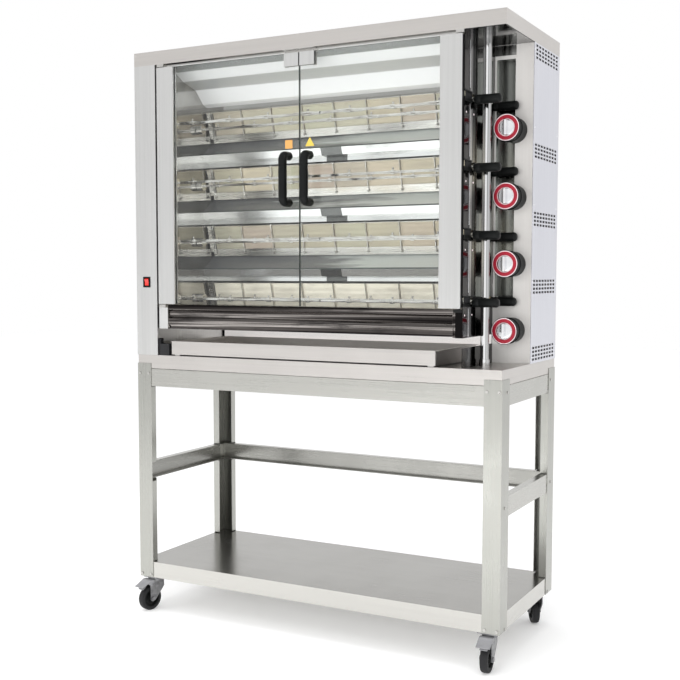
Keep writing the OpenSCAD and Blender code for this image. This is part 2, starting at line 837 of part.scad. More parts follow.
stand_legs();
stand_rails();
stand_shelf();
caster_plates();
base_pan();
top_cover();
motor_housing();
chamber_liner();
right_wall();
control_panel();
side_panel();
back_panel();
burner_housings();
burner_tiles();
burner_guards();
deflector_shelves();
grease_gutter();
corner_post();
gear_motors();
gas_manifold();
knob_bezels();
brackets_and_fasteners();
for (k = [1:8]) drive(k);
for (k = [1:8]) spit(k);
for (k = [1:4]) knob(k);
door_glass_left();
door_stile_left();
door_handle_left();
door_glass_right();
door_stile_right();
door_handle_right();
rocker();
drip_tray();
for (i = [0:3]) caster_fork(i);
for (i = [0:3]) caster_wheel(i);
for (i = [0:1]) brake_pedal(i);
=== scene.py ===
import json
import math

import bmesh
import bpy
from mathutils import Matrix, Vector


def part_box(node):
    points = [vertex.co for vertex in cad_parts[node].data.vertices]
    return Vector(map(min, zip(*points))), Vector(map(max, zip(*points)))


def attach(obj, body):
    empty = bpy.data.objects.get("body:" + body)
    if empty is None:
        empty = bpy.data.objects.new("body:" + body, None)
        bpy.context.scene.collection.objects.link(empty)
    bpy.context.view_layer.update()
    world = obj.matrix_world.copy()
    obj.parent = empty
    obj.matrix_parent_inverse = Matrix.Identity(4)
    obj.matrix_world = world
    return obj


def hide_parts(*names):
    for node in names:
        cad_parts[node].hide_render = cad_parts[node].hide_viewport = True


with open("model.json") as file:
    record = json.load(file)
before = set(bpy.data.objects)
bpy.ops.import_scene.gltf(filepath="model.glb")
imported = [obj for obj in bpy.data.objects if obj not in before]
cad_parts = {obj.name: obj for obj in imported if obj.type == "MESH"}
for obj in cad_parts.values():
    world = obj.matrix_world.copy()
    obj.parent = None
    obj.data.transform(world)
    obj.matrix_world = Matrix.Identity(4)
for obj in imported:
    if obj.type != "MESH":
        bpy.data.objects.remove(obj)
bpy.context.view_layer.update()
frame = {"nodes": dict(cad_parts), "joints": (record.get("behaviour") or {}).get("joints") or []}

NODES = frame["nodes"]
JOINTS = {joint["name"]: joint for joint in frame["joints"]}
CORNERS = ("fl", "fr", "bl", "br")
SPITS = range(1, 9)
KNOBS = range(1, 5)

# ---------- camera, floor and light ----------

WHITE = (1.0, 1.0, 1.0)
BLACK = (0.0, 0.0, 0.0)
CAMERA_AT = (1.6603, -3.1742, 1.1734)
CAMERA_TURN = (85.924, 0.0, 28.519)
CAMERA_LENS = 56.13
CAMERA_SHIFT = (0.0224, 0.0150)
SENSOR_WIDTH = 36.0
LAMPS = (
    ("front", (0.6, -4.2, 1.2), (0.0, 0.0, 1.3), (3.6, 2.2), 160),
    ("key", (-2.6, -3.4, 3.2), (0.0, 0.0, 1.2), (2.4, 2.4), 40),
    ("top", (0.0, -0.6, 4.2), (0.0, 0.0, 0.0), (3.0, 2.0), 40),
)
FLOOR_HALF = 14.0


def make_camera():
    camera = bpy.data.objects.new("camera", bpy.data.cameras.new("camera"))
    camera.data.lens = CAMERA_LENS
    camera.data.sensor_width = SENSOR_WIDTH
    camera.data.shift_x, camera.data.shift_y = CAMERA_SHIFT
    camera.location = CAMERA_AT
    camera.rotation_euler = [math.radians(a) for a in CAMERA_TURN]
    bpy.context.scene.collection.objects.link(camera)
    bpy.context.scene.camera = camera


def make_lamp(name, at, towards, size, power):
    """An area light that polished steel doesn't mirror."""
    lamp = bpy.data.lights.new(name, "AREA")
    lamp.shape = "RECTANGLE"
    lamp.size, lamp.size_y = size
    lamp.energy = power
    piece = bpy.data.objects.new(name, lamp)
    piece.location = at
    piece.rotation_euler = (Vector(towards) - Vector(at)).to_track_quat("-Z", "Y").to_euler()
    piece.visible_glossy = False
    bpy.context.scene.collection.objects.link(piece)


def make_world():
    """A white studio: plain white to the eye, and graded from floor to ceiling where steel mirrors it."""
    world = bpy.data.worlds.new("studio")
    world.use_nodes = True
    nodes, links = world.node_tree.nodes, world.node_tree.links
    nodes.clear()
    place = nodes.new("ShaderNodeTexCoord")
    parts = nodes.new("ShaderNodeSeparateXYZ")
    links.new(place.outputs["Generated"], parts.inputs[0])
    rise = nodes.new("ShaderNodeMapRange")
    rise.inputs["From Min"].default_value = -1.0
    links.new(parts.outputs["Z"], rise.inputs["Value"])
    grade = nodes.new("ShaderNodeValToRGB")
    set_stops(grade.color_ramp, (
        (0.0, (0.95, 0.95, 0.95)),
        (0.46, WHITE),
        (0.53, (0.90, 0.90, 0.91)),
        (0.64, WHITE),
        (0.85, WHITE),
        (1.0, (0.75, 0.76, 0.77)),
    ))
    links.new(rise.outputs[0], grade.inputs[0])
    light = nodes.new("ShaderNodeBackground")
    links.new(grade.outputs[0], light.inputs["Color"])
    seen = nodes.new("ShaderNodeBackground")
    seen.inputs["Color"].default_value = (*WHITE, 1.0)
    path = nodes.new("ShaderNodeLightPath")
    mix = nodes.new("ShaderNodeMixShader")
    links.new(path.outputs["Is Camera Ray"], mix.inputs[0])
    links.new(light.outputs[0], mix.inputs[1])
    links.new(seen.outputs[0], mix.inputs[2])
    out = nodes.new("ShaderNodeOutputWorld")
    links.new(mix.outputs[0], out.inputs[0])
    bpy.context.scene.world = world
    bpy.context.scene.view_settings.view_transform = "Standard"


def set_stops(ramp, stops):
    for at, colour in stops[2:]:
        ramp.elements.new(at)
    for element, (at, colour) in zip(ramp.elements, stops):
        element.position = at
        element.color = (*colour, 1.0)


# ---------- procedural finishes ----------

# A noise seldom leaves this range.
NOISE_RANGE = (0.3, 0.7)
# A face looks along an axis when its normal has at least this much of it.
SQUARE_ON = 0.7
# Radius that bends light round a folded or moulded edge.
FOLD = 0.001
FINE_FOLD = 0.0008


class Finish:
    """A material: one Principled shader and the nodes that drive it."""

    def __init__(self, name, **sockets):
        self.material = bpy.data.materials.new(name)
        self.material.use_nodes = True
        self.tree = self.material.node_tree
        self.shader = self.tree.nodes["Principled BSDF"]
        for socket, value in sockets.items():
            self.shader.inputs[socket.replace("_", " ")].default_value = value

    def add(self, kind, inputs=(), **settings):
        node = self.tree.nodes.new("ShaderNode" + kind)
        for key, value in settings.items():
            setattr(node, key, value)
        for key, value in dict(inputs).items():
            self.feed(node.inputs[key], value)
        return node

    def feed(self, socket, value):
        """Link a socket to another, or set it; a colour is three numbers."""
        if isinstance(value, bpy.types.NodeSocket):
            self.tree.links.new(value, socket)
        elif socket.type == "RGBA":
            socket.default_value = (*value, 1.0)
        else:
            socket.default_value = value

    def drive(self, **sockets):
        for socket, value in sockets.items():
            self.feed(self.shader.inputs[socket.replace("_", " ")], value)

    def math(self, operation, a, b=0.0):
        return self.add("Math", {0: a, 1: b}, operation=operation).outputs[0]

    def above(self, value, limit):
        return self.math("GREATER_THAN", value, limit)

    def below(self, value, limit):
        return self.math("LESS_THAN", value, limit)

    def both(self, a, b):
        return self.math("MULTIPLY", a, b)

    def place(self, scale=(1.0, 1.0, 1.0)):
        """Object coordinates, stretched."""
        coordinates = self.add("TexCoord").outputs["Object"]
        return self.add("VectorMath", {0: coordinates, 1: scale}, operation="MULTIPLY").outputs[0]

    def noise(self, vector, scale=1.0, detail=3.0, roughness=0.5):
        sockets = {"Vector": vector, "Scale": scale, "Detail": detail, "Roughness": roughness}
        return self.add("TexNoise", sockets).outputs[0]

    def span(self, value, low, high, start=0.0, end=1.0):
        """value, from start to end, as a number from low to high."""
        sockets = {"Value": value, "From Min": start, "From Max": end, "To Min": low, "To Max": high}
        return self.add("MapRange", sockets).outputs[0]

    def vary(self, noise, low, high):
        """The noise's usual range as a number from low to high."""
        return self.span(noise, low, high, *NOISE_RANGE)

    def tones(self, noise, low, high):
        """The noise's usual range as a colour from low to high."""
        return self.ramp(noise, (NOISE_RANGE[0], low), (NOISE_RANGE[1], high))

    def ramp(self, value, *stops):
        node = self.add("ValToRGB", {0: value})
        set_stops(node.color_ramp, stops)
        return node.outputs[0]

    def bump(self, height, strength, distance, normal=None):
        sockets = {"Height": height, "Strength": strength, "Distance": distance}
        if normal is not None:
            sockets["Normal"] = normal
        return self.add("Bump", sockets).outputs[0]

    def facing(self, axis):
        """How far the surface faces along an object axis, from -1 to 1."""
        return self.add("SeparateXYZ", {0: self.add("TexCoord").outputs["Normal"]}).outputs[axis]

    def along(self, axis):
        """The object coordinate on an axis, in metres."""
        return self.add("SeparateXYZ", {0: self.add("TexCoord").outputs["Object"]}).outputs[axis]

    def blend(self, share, a, b):
        """Colour a at 0 and b at 1."""
        return self.add("Mix", {0: share, 6: a, 7: b}, data_type="RGBA").outputs[2]

    def rounded(self, radius):
        """The normal as if every edge had this radius."""
        return self.add("Bevel", {"Radius": radius}, samples=4).outputs[0]

    def edge_wear_and_highlight(self, rounded):
        """1 where the rounded normal leaves the flat one, at an edge; it marks edge wearing and painted
        highlights.
        """
        flat = self.add("NewGeometry").outputs["Normal"]
        same = self.add("VectorMath", {0: rounded, 1: flat}, operation="DOT_PRODUCT").outputs["Value"]
        return self.span(same, 1.0, 0.0, 0.75, 0.995)


def tint(colour, share):
    return tuple(c * share for c in colour)


def grey(level):
    return (level, level, level)


def grain_place(finish, along, fine, coarse):
    """Stretched coordinates for a brushed grain: long along "x" (and y on the side faces), or along "z"."""
    if along == "z":
        return finish.place((fine, fine, coarse))
    front = finish.place((coarse, fine, fine))
    side = finish.place((fine, coarse, fine))
    turned = finish.above(finish.math("ABSOLUTE", finish.facing("X")), SQUARE_ON)
    mix = finish.add("Mix", {0: turned, 4: front, 5: side}, data_type="VECTOR")
    return mix.outputs[1]


BRUSHED_EDGE = 0.0012
JOINT_REACH = 0.006
# Near black for the painted shade in joints and creases.
JOINT_SHADE = (0.06, 0.055, 0.05)
# Pale steel at the edges: part wearing, part painted highlight.
WORN_HIGHLIT_STEEL = (0.80, 0.80, 0.79)


def brushed(name, along, colour, rough, top=1.0, inside=1.0, rear=0.0, inward=1.0):
    """Brushed stainless sheet: a fine grain in one direction, smears, edges lightened partly by wearing and
    partly as a painted highlight, and painted shade in the joints.

    top tones the faces that look up, inside those that face forward behind the plane y = rear, and
    inward those on the left and right that face each other; each of them, set below 1, is painted shade."""
    finish = Finish(name, Metallic=1.0)
    fine = finish.noise(grain_place(finish, along, 900.0, 5.0), detail=2.0)
    broad = finish.noise(grain_place(finish, along, 120.0, 1.2), detail=3.0)
    smear = finish.noise(finish.place(), scale=4.5, detail=3.0, roughness=0.6)
    grain = finish.math("ADD", finish.both(fine, 0.45), finish.both(broad, 0.55))
    normal = finish.rounded(BRUSHED_EDGE)
    worn_and_highlit = finish.edge_wear_and_highlight(normal)
    base = finish.ramp(grain, (0.25, tint(colour, 0.92)), (0.5, colour), (0.75, tint(colour, 1.06)))
    # Painted shade: faces that look up are darkened by top.
    if top != 1.0:
        base = finish.blend(finish.above(finish.facing("Z"), SQUARE_ON), base, tint(colour, top))
    # Painted shade: forward faces behind the plane y = rear are darkened by inside.
    if inside != 1.0:
        behind = finish.above(finish.along("Y"), rear)
        hidden = finish.both(behind, finish.below(finish.facing("Y"), -SQUARE_ON))
        base = finish.blend(hidden, base, tint(colour, inside))
    # Painted shade: left and right faces that face each other are darkened by inward.
    if inward != 1.0:
        inner = finish.below(finish.both(finish.facing("X"), finish.along("X")), -0.3)
        base = finish.blend(inner, base, tint(colour, inward))
    # Edges lightened: part wearing, part painted highlight.
    shade = finish.blend(finish.both(worn_and_highlit, 0.3), base, WORN_HIGHLIT_STEEL)
    # Painted shade: ambient occlusion darkens joints and creases.
    open_sky = finish.add("AmbientOcclusion", {"Distance": JOINT_REACH}, samples=6).outputs["AO"]
    joint = finish.blend(finish.span(open_sky, 0.75, 0.0, 0.25, 0.70), shade, JOINT_SHADE)
    grained = finish.span(grain, rough - 0.06, rough + 0.06, 0.25, 0.75)
    roughness = finish.math("ADD", grained, finish.vary(smear, -0.05, 0.05))
    finish.drive(Base_Color=joint, Roughness=roughness, Normal=finish.bump(grain, 0.10, 0.0004, normal))
    return finish.material


def polished(name, colour, rough):
    """Mirror-finished steel with long rolling lines and faint grease."""
    finish = Finish(name, Metallic=1.0)
    lines = finish.noise(grain_place(finish, "x", 160.0, 1.0), detail=4.0)
    wave = finish.noise(finish.place((2.0, 9.0, 9.0)), detail=2.0)
    film = finish.noise(finish.place(), scale=9.0, detail=4.0, roughness=0.65)
    normal = finish.rounded(FOLD)
    base = finish.ramp(film, (0.30, tint(colour, 0.90)), (0.5, colour), (0.72, tint(colour, 1.08)))
    roughness = finish.math("ADD", finish.vary(lines, rough, rough + 0.05),
                            finish.span(film, 0.0, 0.05, 0.5, 0.75))
    uneven = finish.bump(wave, 0.25, 0.004, normal)
    finish.drive(Base_Color=base, Roughness=roughness, Normal=finish.bump(lines, 0.05, 0.0005, uneven))
    return finish.material


CEILING_DEPTH = 0.30
# Ceiling tones: painted reflections.
CEILING_DARK = (0.15, 0.17, 0.165)
CEILING_GREY = (0.58, 0.59, 0.59)
CEILING_PALE = (0.90, 0.90, 0.90)
# Colours of the painted glow on the back wall.
LOW_WALL_GLOW = (0.92, 0.88, 0.86)
HIGH_WALL_GLOW = (0.55, 0.55, 0.53)


def chamber_steel(front, gutter, burners):
    """Chamber lining: a mirror side wall, a folded ceiling with bands that are painted reflections, and a
    back wall with a painted glow below the gutter and above the burners."""
    finish = Finish("steel_chamber", Emission_Strength=0.50)
    side = finish.above(finish.math("ABSOLUTE", finish.facing("X")), SQUARE_ON)
    down = finish.below(finish.facing("Z"), -0.25)
    film = finish.noise(finish.place((3.0, 12.0, 12.0)), detail=3.0)
    depth = finish.span(finish.along("Y"), 0.0, 1.0, front, front + CEILING_DEPTH)
    # Painted reflections: dark, pale and grey bands across the ceiling.
    bands = finish.ramp(depth, (0.0, CEILING_DARK), (0.33, CEILING_DARK), (0.355, CEILING_PALE),
                        (0.49, CEILING_PALE), (0.51, CEILING_GREY), (0.73, CEILING_GREY),
                        (0.75, CEILING_PALE))
    wall = finish.tones(film, (0.66, 0.66, 0.65), (0.78, 0.78, 0.77))
    mirror = finish.tones(film, (0.40, 0.39, 0.37), (0.52, 0.51, 0.49))
    base = finish.blend(down, finish.blend(side, wall, mirror), bands)
    # Painted light: the ceiling glows in bands.
    lit = finish.ramp(depth, (0.0, BLACK), (0.34, grey(0.01)), (0.36, (0.12, 0.13, 0.13)), (0.49, grey(0.14)),
                      (0.51, BLACK), (0.73, BLACK), (0.75, (0.14, 0.14, 0.15)), (1.0, grey(0.16)))
    # Painted light: the back wall glows low down and above the burners.
    forward = finish.below(finish.facing("Y"), -SQUARE_ON)
    low = finish.both(finish.below(finish.along("Z"), gutter), forward)
    high = finish.both(finish.above(finish.along("Z"), burners), forward)
    back_lit = finish.blend(low, finish.blend(high, BLACK, HIGH_WALL_GLOW), LOW_WALL_GLOW)
    finish.drive(Base_Color=base, Metallic=finish.span(down, 1.0, 0.25),
                 Emission_Color=finish.blend(down, back_lit, lit),
                 Roughness=finish.math("ADD", finish.span(side, 0.20, 0.06), finish.vary(film, 0.0, 0.05)),
                 Normal=finish.bump(film, 0.15, 0.003, finish.rounded(FOLD)))
    return finish.material


PATCH_AT = 0.402
PATCH_HALF = 0.040
# Tones of the painted reflections on the fold and nose.
FOLD_STEEL = (0.90, 0.91, 0.90)
PATCH_STEEL = (0.16, 0.165, 0.16)
NOSE_STEEL = (0.07, 0.08, 0.08)


def deflector_steel(left, right):
    """Deflectors in painted reflections: slopes that darken to the left, a dark nose, and a pale fold with a
    darker patch.
    """
    finish = Finish("steel_deflector")
    up = finish.facing("Z")
    film = finish.noise(finish.place((2.5, 16.0, 16.0)), detail=4.0, roughness=0.6)
    place = finish.math("ADD", finish.along("X"), finish.vary(film, -0.18, 0.18))
    # Painted reflection: the slopes darken towards the left.
    slope = finish.ramp(finish.span(place, 0.0, 1.0, left, right), (0.0, (0.125, 0.13, 0.135)),
                        (0.30, (0.175, 0.18, 0.18)), (0.45, (0.51, 0.54, 0.52)), (1.0, (0.61, 0.63, 0.61)))
    nose = finish.blend(finish.above(up, 0.81), NOSE_STEEL, slope)
    # Painted reflection: a darker patch on the pale fold.
    middle_off = finish.math("ABSOLUTE", finish.math("SUBTRACT", finish.along("X"), left + PATCH_AT))
    fold = finish.blend(finish.below(middle_off, PATCH_HALF), FOLD_STEEL, PATCH_STEEL)
    base = finish.blend(finish.above(up, 0.5), fold, nose)
    finish.drive(Base_Color=base, Metallic=finish.span(up, 0.90, 0.25, 0.45, 0.55),
                 Roughness=finish.vary(film, 0.16, 0.28),
                 Normal=finish.bump(film, 0.10, 0.002, finish.rounded(FOLD)))
    return finish.material


WALL_DEPTH = 0.26


def wall_steel(front, low, high):
    """Right wall: a dark mirror with upright lighter bands and a cream glow at mid height, painted
    reflections and light, near black low down and on its forward faces.
    """
    finish = Finish("steel_right_wall", Metallic=1.0)
    lines = finish.noise(grain_place(finish, "z", 160.0, 1.0), detail=4.0)
    depth = finish.span(finish.along("Y"), 0.0, 1.0, front, front + WALL_DEPTH)
    # Painted reflections: dark and lighter upright bands by depth.
    bands = finish.ramp(depth, (0.0, (0.018, 0.016, 0.017)), (0.18, (0.026, 0.023, 0.024)),
                        (0.20, (0.17, 0.16, 0.155)), (0.34, grey(0.12)), (0.44, (0.30, 0.30, 0.295)),
                        (0.55, (0.36, 0.36, 0.355)), (0.72, (0.30, 0.30, 0.295)), (1.0, grey(0.12)))
    # Painted light: a cream glow in pools at mid height.
    pools = finish.noise(finish.place((1.0, 7.0, 4.5)), detail=1.0)
    height = finish.span(finish.along("Z"), 0.0, 1.0, low, high)
    level = finish.ramp(height, (0.0, BLACK), (0.22, grey(0.1)), (0.34, grey(0.9)), (0.62, WHITE),
                        (0.76, BLACK))
    inner = finish.span(depth, 0.0, 1.0, 0.19, 0.22)
    glow = finish.both(finish.both(level, inner), finish.span(pools, 0.15, 0.9, 0.42, 0.58))
    cream = finish.blend(glow, bands, (0.62, 0.59, 0.52))
    streaked = finish.blend(finish.span(lines, 0.0, 0.5, 0.4, 0.7), cream, (0.04, 0.04, 0.04))
    # Painted reflection: near black low down and on the forward faces.
    toned = finish.blend(finish.below(height, 0.19), streaked, (0.022, 0.020, 0.020))
    base = finish.blend(finish.below(finish.facing("Y"), -SQUARE_ON), toned, (0.012, 0.011, 0.011))
    finish.drive(Base_Color=base, Roughness=finish.vary(lines, 0.05, 0.10),
                 Normal=finish.bump(lines, 0.05, 0.0005, finish.rounded(FOLD)))
    return finish.material


def panel_steel(colour, rough, front, left, right):
    """Control panel: pale brushed sheet with painted light and a faint painted glow from the left, with a
    dark mirror in its sunk strip.
    """
    finish = Finish("steel_control_panel", Emission_Strength=0.06)
    grain = finish.noise(grain_place(finish, "z", 500.0, 3.0), detail=3.0)
    sunk = finish.above(finish.along("Y"), front)
    smear = finish.noise(finish.place((6.0, 6.0, 2.0)), detail=3.0)
    mirror = finish.ramp(smear, (0.30, (0.27, 0.285, 0.27)), (0.55, (0.44, 0.455, 0.43)),
                         (0.70, (0.66, 0.68, 0.65)))
    brushed_sheet = finish.ramp(grain, (0.25, tint(colour, 0.94)), (0.75, tint(colour, 1.05)))
    # Painted light: the sheet is paler towards the left.
    shade = finish.span(finish.along("X"), 0.75, 0.0, left, right)
    sheet = finish.blend(shade, brushed_sheet, (0.74, 0.73, 0.71))
    # Painted light: a faint glow towards the left, outside the sunk strip.
    bounce = finish.both(shade, finish.span(sunk, 1.0, 0.0))
    roughness = finish.math("ADD", finish.span(sunk, rough, 0.12), finish.vary(grain, -0.03, 0.03))
    finish.drive(Base_Color=finish.blend(sunk, sheet, mirror), Metallic=finish.span(sunk, 0.12, 1.0),
                 Emission_Color=finish.blend(bounce, BLACK, (1.0, 0.97, 0.94)), Roughness=roughness,
                 Normal=finish.bump(grain, 0.08, 0.0004, finish.rounded(FOLD)))
    return finish.material


def gutter_steel():
    """Polished gutter browned by fat, in long light and dark bands that are painted reflections."""
    finish = Finish("steel_gutter", Metallic=1.0)
    band = finish.noise(finish.place((0.5, 26.0, 52.0)), detail=2.0)
    spots = finish.noise(finish.place((9.0, 40.0, 40.0)), detail=4.0, roughness=0.6)
    # Painted reflections: light and dark bands along the gutter.
    base = finish.ramp(band, (0.34, (0.014, 0.012, 0.012)), (0.44, (0.10, 0.09, 0.085)),
                       (0.50, (0.42, 0.39, 0.37)), (0.56, (0.05, 0.045, 0.042)), (0.64, (0.24, 0.22, 0.21)))
    spotted = finish.blend(finish.span(spots, 0.0, 0.6, 0.52, 0.68), base, (0.015, 0.014, 0.014))
    finish.drive(Base_Color=spotted,
                 Roughness=finish.vary(spots, 0.08, 0.22),
                 Normal=finish.bump(band, 0.12, 0.002, finish.rounded(FOLD)))
    return finish.material


def bracket_steel(top, bottom):
    """Brackets and bolts: satin steel, near black at the lower pivot under the right door."""
    finish = Finish("steel_bracket", Metallic=1.0)
    height = finish.along("Z")
    foot = finish.both(finish.below(height, top), finish.above(height, bottom))
    foot = finish.both(foot, finish.above(finish.along("X"), 0.0))
    grain = finish.noise(finish.place((60.0, 60.0, 240.0)), detail=3.0)
    plain = finish.tones(grain, (0.50, 0.49, 0.47), (0.60, 0.59, 0.57))
    finish.drive(Base_Color=finish.blend(foot, plain, grey(0.03)),
                 Roughness=finish.vary(grain, 0.24, 0.40),
                 Normal=finish.bump(grain, 0.10, 0.0004, finish.rounded(FINE_FOLD)))
    return finish.material


def post_chrome():
    """Plated post: bright, with upright dark and light bands set by the way each face turns, painted
    reflections.
    """
    finish = Finish("chrome_post", Metallic=1.0)
    lines = finish.noise(finish.place((90.0, 90.0, 0.6)), detail=2.0)
    wavy = finish.math("ADD", finish.facing("X"), finish.vary(lines, -0.10, 0.10))
    # Painted reflections: tones by which way the surface faces.
    base = finish.ramp(finish.span(wavy, 0.0, 1.0, -1.0), (0.0, grey(0.80)), (0.14, (0.86, 0.87, 0.86)),
                       (0.24, grey(0.97)), (0.42, (0.66, 0.67, 0.67)), (0.50, grey(0.95)), (0.68, grey(0.86)),
                       (0.76, (0.26, 0.27, 0.27)), (0.84, grey(0.62)), (1.0, grey(0.40)))
    finish.drive(Base_Color=base, Roughness=finish.vary(lines, 0.05, 0.12),
                 Normal=finish.bump(lines, 0.02, 0.0004))
    return finish.material


def heated_steel():
    """Burner casings: steel browned by heat."""
    finish = Finish("steel_heated", Metallic=1.0)
    stain = finish.noise(finish.place((3.0, 14.0, 14.0)), detail=4.0, roughness=0.6)
    grain = finish.noise(finish.place((4.0, 500.0, 500.0)), detail=2.0)
    base = finish.ramp(stain, (0.30, (0.50, 0.49, 0.47)), (0.50, (0.66, 0.65, 0.61)),
                       (0.70, (0.58, 0.54, 0.47)))
    finish.drive(Base_Color=base, Roughness=finish.vary(grain, 0.20, 0.34),
                 Normal=finish.bump(grain, 0.12, 0.0004, finish.rounded(FOLD)))
    return finish.material


def ceramic(low_row):
    """Cream burner plates: fine holes, a tone for each tile, faint scorching, paler below low_row."""
    finish = Finish("ceramic_tile", Metallic=0.0)
    cells = {"Vector": finish.place(), "Scale": 520.0, "Randomness": 0.15}
    holes = finish.add("TexVoronoi", cells).outputs["Distance"]
    pores = finish.span(holes, 0.0, 1.0, 0.20, 0.42)
    scorch = finish.noise(finish.place((7.0, 22.0, 22.0)), detail=4.0, roughness=0.6)
    tone = finish.add("NewGeometry").outputs["Random Per Island"]
    tones = finish.ramp(tone, (0.0, (0.45, 0.40, 0.30)), (0.35, (0.42, 0.41, 0.31)),
                        (0.65, (0.42, 0.35, 0.29)), (1.0, (0.54, 0.48, 0.35)))
    paler_low_row = finish.blend(finish.below(finish.along("Z"), low_row), tones, (0.84, 0.79, 0.67))
    burnt = finish.blend(finish.span(scorch, 0.0, 0.45, 0.46, 0.70), paler_low_row, (0.37, 0.33, 0.27))
    holed = finish.blend(finish.span(pores, 0.25, 0.0), burnt, (0.20, 0.17, 0.13))
    finish.drive(Base_Color=holed, Roughness=finish.vary(scorch, 0.78, 0.95),
                 Normal=finish.bump(pores, 0.35, 0.0005))
    return finish.material


def chrome():
    finish = Finish("chrome_plate", Metallic=1.0)
    film = finish.noise(finish.place(), scale=30.0, detail=3.0)
    finish.drive(Base_Color=finish.tones(film, (0.82, 0.83, 0.85), (0.90, 0.90, 0.91)),
                 Roughness=finish.span(film, 0.03, 0.09, 0.35, 0.7),
                 Normal=finish.bump(film, 0.02, 0.0003))
    return finish.material


def spit_steel():
    finish = Finish("steel_spit", Metallic=1.0)
    marks = finish.noise(finish.place((40.0, 300.0, 300.0)), detail=3.0)
    stain = finish.noise(finish.place(), scale=14.0, detail=4.0)
    base = finish.ramp(stain, (0.32, (0.52, 0.50, 0.46)), (0.55, (0.72, 0.71, 0.68)),
                       (0.75, (0.80, 0.79, 0.76)))
    finish.drive(Base_Color=base, Roughness=finish.vary(marks, 0.06, 0.16),
                 Normal=finish.bump(marks, 0.08, 0.0003, finish.rounded(0.0006)))
    return finish.material


def zinc():
    """Zinc-plated pressings with the faint spangle of the plating."""
    finish = Finish("zinc_plate", Metallic=0.9)
    spangle = finish.add("TexVoronoi", {"Vector": finish.place(), "Scale": 90.0}).outputs["Color"]
    shade = finish.add("SeparateXYZ", {0: spangle}).outputs["X"]
    scuff = finish.noise(finish.place(), scale=45.0, detail=4.0, roughness=0.6)
    finish.drive(Base_Color=finish.ramp(shade, (0.0, (0.20, 0.20, 0.21)), (1.0, (0.30, 0.30, 0.305))),
                 Roughness=finish.vary(scuff, 0.26, 0.46),
                 Normal=finish.bump(scuff, 0.10, 0.0004, finish.rounded(FINE_FOLD)))
    return finish.material


def brass():
    finish = Finish("brass_fitting", Metallic=1.0)
    tarnish = finish.noise(finish.place(), scale=26.0, detail=4.0)
    finish.drive(Base_Color=finish.tones(tarnish, (0.46, 0.34, 0.16), (0.70, 0.55, 0.27)),
                 Roughness=finish.vary(tarnish, 0.38, 0.22),
                 Normal=finish.bump(tarnish, 0.08, 0.0005, finish.rounded(FOLD)))
    return finish.material


def moulded(name, colour, rough, grain_scale=900.0, strength=0.12, coat=0.0, gloss=0.5):
    """Moulded plastic or rubber with a fine eroded skin and slightly polished high spots."""
    finish = Finish(name, Metallic=0.0, Coat_Weight=coat, Coat_Roughness=0.08, Specular_IOR_Level=gloss)
    skin = finish.noise(finish.place(), scale=grain_scale, detail=2.0)
    handled = finish.noise(finish.place(), scale=22.0, detail=3.0)
    finish.drive(Base_Color=finish.tones(handled, tint(colour, 0.85), tint(colour, 1.15)),
                 Roughness=finish.vary(handled, rough + 0.06, rough - 0.06),
                 Normal=finish.bump(skin, strength, 0.0003, finish.rounded(FINE_FOLD)))
    return finish.material


def lit_rocker():
    """Red see-through rocker with its lamp on."""
    finish = Finish("rocker_lit", Metallic=0.0, Coat_Weight=0.6, Coat_Roughness=0.05, Emission_Strength=0.12)
    glow = finish.noise(finish.place(), scale=70.0, detail=1.0)
    finish.drive(Base_Color=finish.tones(glow, (0.42, 0.010, 0.008), (0.60, 0.025, 0.014)),
                 Emission_Color=finish.tones(glow, (0.55, 0.01, 0.005), (0.95, 0.07, 0.03)),
                 Roughness=finish.vary(glow, 0.22, 0.32))
    return finish.material


GLASS_GLEAM = 0.028
SCHLICK_POWER = 5.0


def glass():
    """Clear toughened glass: see-through, glossy at a slant, green where the cut edges show.

    GLASS_GLEAM is what each face reflects head-on. The same share from either side keeps it clear."""
    finish = Finish("glass_clear", Metallic=0.0, Roughness=0.2)
    edge = finish.below(finish.math("ABSOLUTE", finish.facing("Y")), 0.5)
    smudge = finish.noise(finish.place(), scale=6.0, detail=4.0, roughness=0.6)
    film = finish.tones(smudge, (0.982, 0.990, 0.986), (0.988, 0.994, 0.991))
    clear = finish.add("BsdfTransparent", {"Color": film})
    smeared = finish.span(smudge, 0.0, 0.05, 0.45, 0.75)
    gloss = finish.add("BsdfGlossy", {"Color": WHITE, "Roughness": smeared})
    slant = finish.add("LayerWeight", {"Blend": 0.5}).outputs["Facing"]
    steep = finish.math("POWER", slant, SCHLICK_POWER)
    gleam = finish.math("ADD", finish.both(steep, 1.0 - GLASS_GLEAM), GLASS_GLEAM)
    pane = finish.add("MixShader", {0: gleam, 1: clear.outputs[0], 2: gloss.outputs[0]})
    finish.drive(Base_Color=finish.tones(smudge, (0.030, 0.040, 0.037), (0.055, 0.070, 0.064)))
    whole = finish.add("MixShader", {0: edge, 1: pane.outputs[0], 2: finish.shader.outputs[0]})
    finish.tree.links.new(whole.outputs[0], finish.tree.nodes["Material Output"].inputs["Surface"])
    return finish.material


def printed(name, colour):
    """Printed plastic film."""
    finish = Finish(name, Metallic=0.0, Coat_Weight=0.3)
    fade = finish.noise(finish.place(), scale=60.0, detail=3.0)
    finish.drive(Base_Color=finish.tones(fade, tint(colour, 0.92), colour),
                 Roughness=finish.vary(fade, 0.30, 0.42))
    return finish.material


def floor_finish():
    finish = Finish("floor_paper", Metallic=0.0, Specular_IOR_Level=0.0, Emission_Strength=0.12)
    fibre = finish.noise(finish.place(), scale=220.0, detail=4.0)
    finish.drive(Emission_Color=WHITE, Base_Color=finish.tones(fibre, (0.93, 0.93, 0.93), (0.96, 0.96, 0.96)),
                 Roughness=finish.vary(fibre, 0.80, 0.90),
                 Normal=finish.bump(fibre, 0.02, 0.0005))
    return finish.material


